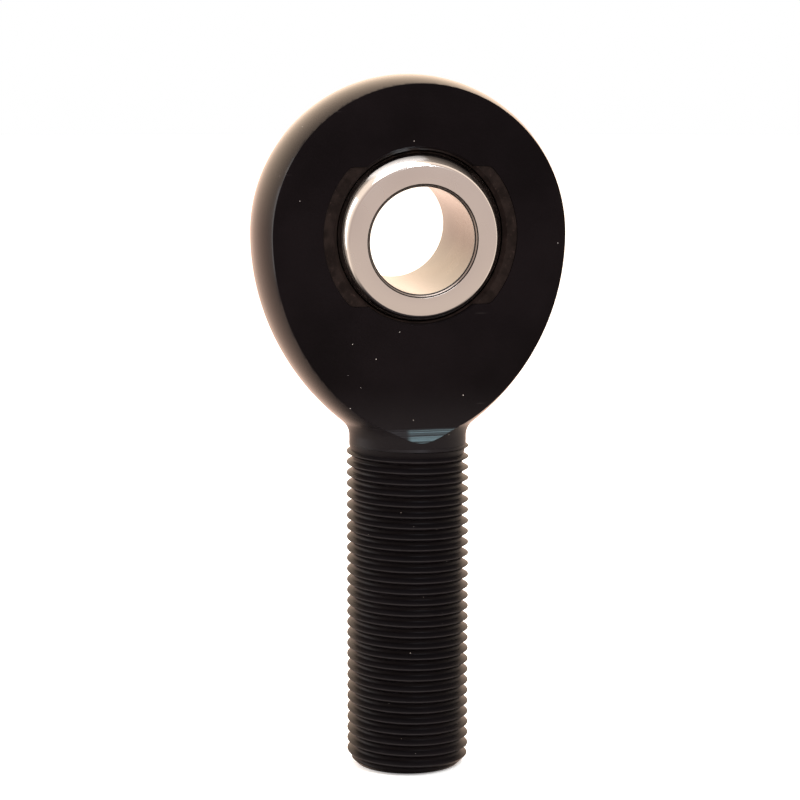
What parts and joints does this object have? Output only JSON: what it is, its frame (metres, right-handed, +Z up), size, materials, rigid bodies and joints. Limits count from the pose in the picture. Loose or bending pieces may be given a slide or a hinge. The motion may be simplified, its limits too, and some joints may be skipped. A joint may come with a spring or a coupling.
{
  "type": "rod end bearing",
  "caption": "Black rod end bearing with a round flat-sided head, polished swivel ball in a moulded race, and a long right-hand threaded shank.",
  "frame": {"origin": "centre of the shank's end face", "axes": "+Z up the shank to the head, +Y along the pivot axis from the front face to the back face, +X to the right seen from the front"},
  "size_m": [0.0402, 0.0168, 0.0894],
  "materials": {
    "black_oxide_steel": "gloss",
    "moulded_liner": "satin",
    "polished_steel": "gloss"
  },
  "bodies": {
    "rod_end": {"rod_end_body": "black_oxide_steel", "moulded_race": "moulded_liner"},
    "ball_body": {"ball": "polished_steel"}
  },
  "joints": [
    {"name": "ball_tilt", "type": "hinge", "parent": "rod_end", "child": "ball_body", "pos_m": [0, 0, 0.0693], "axis": [1, 0, 0], "range_deg": [-12, 4]}
  ]
}
